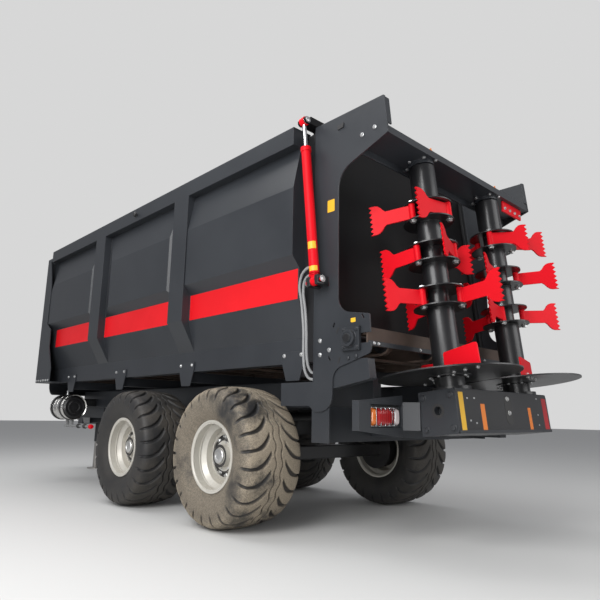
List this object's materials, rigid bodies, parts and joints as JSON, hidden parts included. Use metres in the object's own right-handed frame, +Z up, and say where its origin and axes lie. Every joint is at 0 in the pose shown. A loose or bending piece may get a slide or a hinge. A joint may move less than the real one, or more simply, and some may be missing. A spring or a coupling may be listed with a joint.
{
  "type": "towed solid-fertilizer spreader",
  "caption": "Tandem-axle towed spreader with a high hopper, chain floor, rear lift door and leaning vertical beaters with toothed blades over spreading discs.",
  "frame": {"origin": "on the ground below the middle of the machine's overall box", "axes": "+X forward towards the tow eye, +Y to the left side, +Z up"},
  "size_m": [8.325, 2.81, 3.3845],
  "materials": {
    "body_paint": "satin anthracite grey paint",
    "black_paint": "satin black paint",
    "red_paint": "satin red paint",
    "rim_paint": "silver wheel paint",
    "tyre": "black rubber",
    "bare_steel": "bare steel",
    "chrome_rod": "hard chrome",
    "stainless": "polished stainless sheet",
    "floor_steel": "brown primed steel",
    "lamp_lens": "clear-coated lens",
    "hose": "grey sleeved hose"
  },
  "bodies": {
    "frame": {"chassis_rails": "body_paint", "chassis_crossmembers": "body_paint", "cross_bearers": "body_paint", "tail_beam": "body_paint", "gear_arms": "body_paint", "springs": "black_paint", "axles": "black_paint", "drawbar_beams": "body_paint", "drawbar_head": "body_paint", "tow_eye": "bare_steel", "jack_sleeve": "body_paint", "driveline": "black_paint", "sills": "body_paint", "side_wall_left": "body_paint", "side_wall_right": "body_paint", "front_wall": "body_paint", "floor_plate": "floor_steel", "floor_guard": "floor_steel", "chain_floor": "floor_steel", "drive_shaft": "black_paint", "shaft_bearings": "black_paint", "idler_shaft": "black_paint", "floor_gearbox": "black_paint", "side_plate_left": "body_paint", "side_plate_right": "body_paint", "door_guides": "black_paint", "top_beam": "body_paint", "rear_arms": "body_paint", "gear_beam": "body_paint", "rotor_gearboxes": "black_paint", "lamp_panels": "body_paint", "lamps": "lamp_lens", "barrels": "red_paint", "hoses": "hose", "air_tank": "stainless", "tank_cradle": "black_paint"},
    "wheel_front_left": {"tyre_front_left": "tyre", "rim_front_left": "rim_paint"},
    "wheel_rear_left": {"tyre_rear_left": "tyre", "rim_rear_left": "rim_paint"},
    "rotor_left": {"beater_left": "black_paint", "blades_left": "red_paint", "disc_left": "black_paint", "vanes_left": "red_paint"},
    "wheel_front_right": {"tyre_front_right": "tyre", "rim_front_right": "rim_paint"},
    "wheel_rear_right": {"tyre_rear_right": "tyre", "rim_rear_right": "rim_paint"},
    "rotor_right": {"beater_right": "black_paint", "blades_right": "red_paint", "disc_right": "black_paint", "vanes_right": "red_paint"},
    "rear_door": {"door": "black_paint", "rods": "chrome_rod"},
    "jack": {"jack_leg": "bare_steel"}
  },
  "joints": [
    {"name": "wheel_front_left_spin", "type": "hinge", "parent": "frame", "child": "wheel_front_left", "pos_m": [-0.22546, 1.105, 0.59], "axis": [0, 1, 0], "continuous": true},
    {"name": "wheel_rear_left_spin", "type": "hinge", "parent": "frame", "child": "wheel_rear_left", "pos_m": [-1.84746, 1.105, 0.59], "axis": [0, 1, 0], "continuous": true},
    {"name": "wheel_front_right_spin", "type": "hinge", "parent": "frame", "child": "wheel_front_right", "pos_m": [-0.22546, -1.105, 0.59], "axis": [0, 1, 0], "continuous": true},
    {"name": "wheel_rear_right_spin", "type": "hinge", "parent": "frame", "child": "wheel_rear_right", "pos_m": [-1.84746, -1.105, 0.59], "axis": [0, 1, 0], "continuous": true},
    {"name": "rotor_left_spin", "type": "hinge", "parent": "frame", "child": "rotor_left", "pos_m": [-3.64546, 0.53, 1.236], "axis": [0.1057, 0, 0.9944], "continuous": true},
    {"name": "rotor_right_spin", "type": "hinge", "parent": "frame", "child": "rotor_right", "pos_m": [-3.64546, -0.53, 1.236], "axis": [0.1057, 0, 0.9944], "continuous": true},
    {"name": "door_lift", "type": "slide", "parent": "frame", "child": "rear_door", "axis": [0.1057, 0, 0.9944], "range_m": [0, 0.98]},
    {"name": "jack_lift", "type": "slide", "parent": "frame", "child": "jack", "axis": [0, 0, 1], "range_m": [0, 0.38]}
  ],
  "couplings": [
    {"joint": "rotor_right_spin", "follows": "rotor_left_spin", "ratio": -1}
  ]
}
